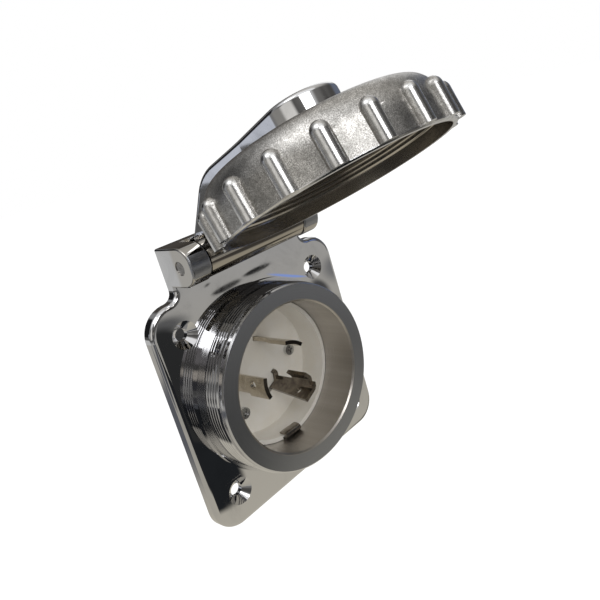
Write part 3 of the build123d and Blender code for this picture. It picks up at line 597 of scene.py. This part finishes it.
arm_steel, tree, shader, here = new_finish("arm_steel", 1.0, 0.06, (0.72, 0.72, 0.73))
marks = use_group(tree, handling_marks, (-1200, 0), Vector=here, Scale=55.0)
rough = blend_value(tree, marks.outputs["Smudge"], *ARM_ROUGH, (-800, 0))
rough = blend_value(tree, marks.outputs["Scratch"], rough, ARM_SCRATCH_ROUGH, (-600, 0))
tree.links.new(rough, shader.inputs["Roughness"])
from_hinge = new_node(tree, "ShaderNodeVectorMath", (-1000, 500), operation="MULTIPLY_ADD")
from_hinge.inputs[1].default_value = (0.0, 1.0, 1.0)
from_hinge.inputs[2].default_value = (0.0, -hinge_back, -hinge_up)
tree.links.new(here, from_hinge.inputs[0])
reach = new_node(tree, "ShaderNodeVectorMath", (-800, 500), operation="LENGTH")
tree.links.new(from_hinge.outputs[0], reach.inputs[0])
on_barrel = step_mask(tree, reach.outputs["Value"], *ON_BARREL, (-600, 500))
tint = blend_colour(tree, marks.outputs["Smudge"], *ARM_TINTS, (-600, 300))
tint = blend_colour(tree, on_barrel, tint, BARREL_PAINTED_SHADE, (-400, 300))
tree.links.new(tint, shader.inputs["Base Color"])
wavy = math_node(tree, "MULTIPLY", marks.outputs["Wave"], ARM_WAVE_HEIGHT, (-800, -300))
add_bump(tree, shader, wavy, POLISH_RELIEF)

# %% [markdown]
# ## Cast cap steel
# The screw cap is blasted: a soft grey metal with cloudy grain. Hands have polished its rib crests and
# rim, which lie furthest from the cap's axis and lowest on it. Its inside is machined, and it is painted
# darker as painted shade for the shade inside the cap. A Mapping node carries the pattern into the cap's
# own slanted frame, whose origin is the middle of its rim.

# %% Zones of the cap
CAP_CENTRE = (0.0, -0.07894, 0.08440)
CAP_TILT = radians(-20.0)
# Each zone fades in from its first value to its second.
RIB_CREST = (48.8 * MM, 50.6 * MM)
RIM_EDGE = (1.2 * MM, 0.4 * MM)
WITHIN_WALL = (45.9 * MM, 45.7 * MM)
UNDER_CROWN = (16.8 * MM, 16.5 * MM)

cap_steel, tree, shader, here = new_finish("cap_steel", 1.0, 0.36, (0.5, 0.5, 0.5))
own = new_node(tree, "ShaderNodeMapping", (-1800, 0), vector_type="TEXTURE",
               Location=CAP_CENTRE, Rotation=(CAP_TILT, 0.0, 0.0))
tree.links.new(here, own.inputs["Vector"])
split = new_node(tree, "ShaderNodeSeparateXYZ", (-1600, 0))
tree.links.new(own.outputs[0], split.inputs[0])
radius, angle = round_axis(tree, split, "X", "Y", (-1400, 100))
height = split.outputs["Z"]
crest = step_mask(tree, radius, *RIB_CREST, (-1000, 200))
rim = step_mask(tree, height, *RIM_EDGE, (-1000, 0))
bare = math_node(tree, "MAXIMUM", crest, rim, (-800, 100))
within_wall = step_mask(tree, radius, *WITHIN_WALL, (-1000, -200))
under_crown = step_mask(tree, height, *UNDER_CROWN, (-1000, -350))
inner = math_node(tree, "MULTIPLY", within_wall, under_crown, (-800, -200))

# %% Colour of the cap
SPECK_EDGES = (0.38, 0.62)
BLASTED_TINTS = ((0.82, 0.805, 0.78), (0.50, 0.49, 0.47))
SPECK_TINT = (0.27, 0.26, 0.245)
HANDLED_TINT = (0.78, 0.78, 0.78)
# The inside's colours are machined lines and painted shade: they are darker than the outside for the shade
# inside the cap.
MACHINED_PAINTED_SHADE_TINTS = ((0.42, 0.39, 0.34), (0.72, 0.68, 0.62))
WEAR_SHARES = (1.0, 0.55)

mottle = use_group(tree, cast_mottle, (-1200, -500), Vector=own.outputs[0], Scale=330.0)
laps = use_group(tree, turned_lines, (-1200, -700), Across=height, Along=angle, Density=3800.0)
wear = blend_value(tree, mottle.outputs["Value"], *WEAR_SHARES, (-900, 400))
uneven = math_node(tree, "MULTIPLY", bare, wear, (-650, 250))
speck = step_mask(tree, mottle.outputs["Grain"], *SPECK_EDGES, (-900, 600))
tint = blend_colour(tree, mottle.outputs["Value"], *BLASTED_TINTS, (-750, 500))
tint = blend_colour(tree, speck, tint, SPECK_TINT, (-600, 500))
tint = blend_colour(tree, uneven, tint, HANDLED_TINT, (-400, 500))
machined_painted_shade = blend_colour(tree, laps.outputs["Value"], *MACHINED_PAINTED_SHADE_TINTS, (-600, 700))
tint = blend_colour(tree, inner, tint, machined_painted_shade, (-200, 500))
tree.links.new(tint, shader.inputs["Base Color"])

# %% Roughness and relief of the cap
BLASTED_ROUGH = (0.24, 0.42)
HANDLED_ROUGH = 0.20
MACHINED_ROUGH = 0.22
SKIN_HEIGHTS = (1.0, 0.15)
LAP_HEIGHT = 0.12
CAST_RELIEF = 5e-5
CAST_STRENGTH = 0.8

rough = blend_value(tree, mottle.outputs["Grain"], *BLASTED_ROUGH, (-600, -200))
rough = blend_value(tree, uneven, rough, HANDLED_ROUGH, (-450, -200))
rough = blend_value(tree, inner, rough, MACHINED_ROUGH, (-300, -200))
tree.links.new(rough, shader.inputs["Roughness"])
skin = blend_value(tree, bare, *SKIN_HEIGHTS, (-900, -900))
rough_skin = math_node(tree, "MULTIPLY", mottle.outputs["Grain"], skin, (-700, -900))
fine_laps = math_node(tree, "MULTIPLY", laps.outputs["Value"], LAP_HEIGHT, (-700, -1050))
add_bump(tree, shader, blend_value(tree, inner, rough_skin, fine_laps, (-500, -900)),
         CAST_RELIEF, CAST_STRENGTH)

# %% [markdown]
# ## Small metal, plastic and rubber
# The line blades are nickel-plated brass gone tan, the neutral blade is darker, the clips are dark
# spring steel, and the pins and screws are plain satin stainless. One recipe with its own numbers makes
# each of them: a cloudy colour, a roughness that follows the grain, and a faint relief. The plastics
# and rubber use it too. A blade's sheared front end is darker and smoother than its faces, so the tan
# finish is also given the depth at which the blades end.

# %% Grained finishes
MARKS_PER_MOTTLE = 0.5
SCRATCH_SHADE = 0.8
CUT_FADE = (0.45 * MM, 0.25 * MM)
CUT_TINT = (0.085, 0.075, 0.065)
CUT_ROUGH = 0.14


def grained_finish(name, metallic, pale, dark, smooth, coarse, scale, relief, cut_end=None):
    """A finish that varies with cast mottle; relief is in metres, cut_end the depth of a sheared end."""
    material, tree, shader, here = new_finish(name, metallic, smooth, pale)
    mottle = use_group(tree, cast_mottle, (-1200, 0), Vector=here, Scale=scale)
    marks = use_group(tree, handling_marks, (-1200, -300), Vector=here, Scale=MARKS_PER_MOTTLE * scale)
    tint = blend_colour(tree, mottle.outputs["Value"], pale, dark, (-700, 200))
    tint = blend_colour(tree, marks.outputs["Scratch"], tint, tinted(SCRATCH_SHADE, dark), (-500, 200))
    rough = blend_value(tree, mottle.outputs["Grain"], smooth, coarse, (-700, -100))
    if cut_end is not None:
        split = new_node(tree, "ShaderNodeSeparateXYZ", (-900, 500))
        tree.links.new(here, split.inputs[0])
        fade_from, fade_to = (cut_end + distance for distance in CUT_FADE)
        sheared = step_mask(tree, split.outputs["Y"], fade_from, fade_to, (-700, 500))
        tint = blend_colour(tree, sheared, tint, CUT_TINT, (-300, 300))
        rough = blend_value(tree, sheared, rough, CUT_ROUGH, (-300, 0))
    tree.links.new(tint, shader.inputs["Base Color"])
    tree.links.new(rough, shader.inputs["Roughness"])
    add_bump(tree, shader, mottle.outputs["Grain"], relief)
    return material


blade_end = min(vert.co.y for vert in nodes["blade_hot_left"].data.vertices)
# Each recipe, by material slot: name, metallic, pale and dark colour, smoothest and coarsest roughness,
# the mottle's scale, the relief in metres and, for the blades, where they end.
recipes = {
    "pin_steel": ("dull_pin_steel", 1.0, (0.46, 0.45, 0.44), (0.30, 0.29, 0.28),
                  0.30, 0.50, 500.0, 8e-6),
    "screw_steel": ("screw_steel", 1.0, (0.74, 0.74, 0.73), (0.56, 0.56, 0.55),
                    0.08, 0.20, 700.0, 5e-6),
    "spring_steel": ("spring_steel", 1.0, (0.38, 0.345, 0.31), (0.22, 0.195, 0.17),
                     0.14, 0.28, 400.0, 3e-6),
    "plated_brass": ("tan_plated_brass", 1.0, (0.66, 0.60, 0.50), (0.54, 0.48, 0.39),
                     0.20, 0.34, 260.0, 3e-6, blade_end),
    "dark_brass": ("dark_plated_brass", 1.0, (0.26, 0.225, 0.185), (0.13, 0.112, 0.092),
                   0.16, 0.30, 320.0, 4e-6),
    "cup_plastic": ("cup_plastic", 0.0, (0.86, 0.83, 0.77), (0.82, 0.78, 0.70),
                    0.38, 0.52, 90.0, 8e-6),
    "body_plastic": ("body_plastic", 0.0, (0.030, 0.030, 0.031), (0.022, 0.022, 0.022),
                     0.42, 0.60, 900.0, 2e-5),
    "washer_plastic": ("washer_plastic", 0.0, (0.10, 0.10, 0.10), (0.07, 0.07, 0.07),
                       0.40, 0.55, 700.0, 1e-5),
    "gasket_rubber": ("gasket_rubber", 0.0, (0.035, 0.035, 0.035), (0.022, 0.022, 0.022),
                      0.62, 0.80, 800.0, 2e-5),
}
finishes = {"polished_stainless": arm_steel, "blasted_stainless": cap_steel}
for slot, recipe in recipes.items():
    finishes[slot] = grained_finish(*recipe)

# %% Finish of each solid
own_finish = {"flange_housing": flange_steel}
for subpart in frame["record"]["subparts"]:
    mesh = nodes[subpart["node"]].data
    finish = own_finish.get(subpart["node"], finishes[subpart["material_slot"]])
    mesh.materials.clear()
    mesh.materials.append(finish)
print("finishes", len(finishes) + len(own_finish))

# %% [markdown]
# ## Threads
# The solids leave both threads plain. Each thread here is one ridge that winds round its cylinder: a
# flat profile, drawn beside the axis, is swept by the Screw modifier, its two ends are filled, and its
# first and last stretch are drawn into the metal, as a cutter leaves them.

# %% Editing helpers
SAME_PLACE = 1e-6
SMOOTH_ANGLE = 25.0


def activate(piece):
    """Makes one piece active and alone selected."""
    if bpy.context.object and bpy.context.object.mode == "EDIT":
        bpy.ops.object.mode_set(mode="OBJECT")
    bpy.ops.object.select_all(action="DESELECT")
    piece.select_set(True)
    bpy.context.view_layer.objects.active = piece


def pick(piece, test):
    """In edit mode, selects only the vertices of a piece that pass the test."""
    if piece.mode != "EDIT":
        activate(piece)
        bpy.ops.object.mode_set(mode="EDIT")
    bpy.ops.mesh.select_mode(type="VERT")
    bpy.ops.mesh.select_all(action="DESELECT")
    bpy.ops.object.mode_set(mode="OBJECT")
    for vert in piece.data.vertices:
        vert.select = bool(test(vert))
    bpy.ops.object.mode_set(mode="EDIT")


def apply_modifiers(piece):
    """Applies a piece's modifiers in their order."""
    activate(piece)
    for modifier in list(piece.modifiers):
        bpy.ops.object.modifier_apply(modifier=modifier.name)


def set_in_mesh(piece):
    """Moves a piece's place, turn and size into its mesh."""
    activate(piece)
    bpy.ops.object.transform_apply(location=True, rotation=True, scale=True)


def finish_mesh(piece, body, finish):
    """Merges doubles, turns the normals outward, smooths, and gives the piece its body and finish."""
    pick(piece, lambda vert: True)
    bpy.ops.mesh.remove_doubles(threshold=SAME_PLACE)
    bpy.ops.mesh.normals_make_consistent(inside=False)
    bpy.ops.object.mode_set(mode="OBJECT")
    bpy.ops.object.shade_smooth_by_angle(angle=radians(SMOOTH_ANGLE))
    piece.data.materials.clear()
    piece.data.materials.append(finish)
    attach(piece, body)
    print(piece.name, "faces", len(piece.data.polygons))


# %% Thread helper
PITCH = 1.8 * MM
ROOT_SHARE = 0.94
CREST_SHARE = 0.2
RING_STEPS = 144
RUN_OUT_RINGS = 18
PROFILE_CORNERS = 4


def thread_ridge(name, base, crest, first, turns):
    """A helical ridge round Y, from first towards +Y; base and crest are its radii."""
    bpy.ops.object.select_all(action="DESELECT")
    bpy.ops.mesh.primitive_plane_add(size=1.0, location=((base + crest) / 2, first, 0.0))
    piece = bpy.context.object
    piece.name = name
    piece.scale = (abs(crest - base), ROOT_SHARE * PITCH, 1.0)
    set_in_mesh(piece)
    pick(piece, lambda vert: abs(vert.co.x - crest) < SAME_PLACE)
    bpy.ops.transform.resize(value=(1.0, CREST_SHARE, 1.0), center_override=(crest, first, 0.0))
    bpy.ops.mesh.select_all(action="SELECT")
    bpy.ops.mesh.delete(type="ONLY_FACE")
    bpy.ops.object.mode_set(mode="OBJECT")
    sweep = piece.modifiers.new("sweep", "SCREW")
    sweep.axis = "Y"
    sweep.angle = 2 * pi * turns
    sweep.steps = sweep.render_steps = int(RING_STEPS * turns)
    sweep.iterations = 1
    sweep.screw_offset = PITCH * turns
    sweep.use_merge_vertices = False
    apply_modifiers(piece)
    total = len(piece.data.vertices)
    sunk = (crest - base) / crest
    for ring in range(RUN_OUT_RINGS):
        before, after = PROFILE_CORNERS * ring, PROFILE_CORNERS * (ring + 1)
        near = range(before, after)
        far = range(total - after, total - before)
        size = 1.0 - sunk * (1.0 - ring / RUN_OUT_RINGS)
        pick(piece, lambda vert: vert.index in near or vert.index in far)
        bpy.ops.transform.resize(value=(size, 1.0, size), center_override=(0.0, 0.0, 0.0))
    for end in (range(PROFILE_CORNERS), range(total - PROFILE_CORNERS, total)):
        pick(piece, lambda vert: vert.index in end)
        bpy.ops.mesh.edge_face_add()
    bpy.ops.object.mode_set(mode="OBJECT")
    return piece


# %% Collar thread
collar_thread = thread_ridge("collar_thread", base=41.4 * MM, crest=43.0 * MM,
                             first=-18.9 * MM, turns=4.8)
finish_mesh(collar_thread, "base", arm_steel)

# %% [markdown]
# The cap's thread is cut inside its wall, so its crest is nearer to the axis than its base. It is wound
# round Y like the other, then stood up along the cap's axis and laid into the tilted cap.

# %% Cap thread
cap_thread = thread_ridge("cap_thread", base=44.2 * MM, crest=43.6 * MM,
                          first=-11.6 * MM, turns=3.1)
cap_thread.rotation_euler = (radians(-90.0), 0.0, 0.0)
set_in_mesh(cap_thread)
heights = [vert.co.z for vert in cap_thread.data.vertices]
print("cap thread height", min(heights), max(heights))
cap_thread.rotation_euler = (CAP_TILT, 0.0, 0.0)
cap_thread.location = CAP_CENTRE
set_in_mesh(cap_thread)
finish_mesh(cap_thread, "cap", cap_steel)
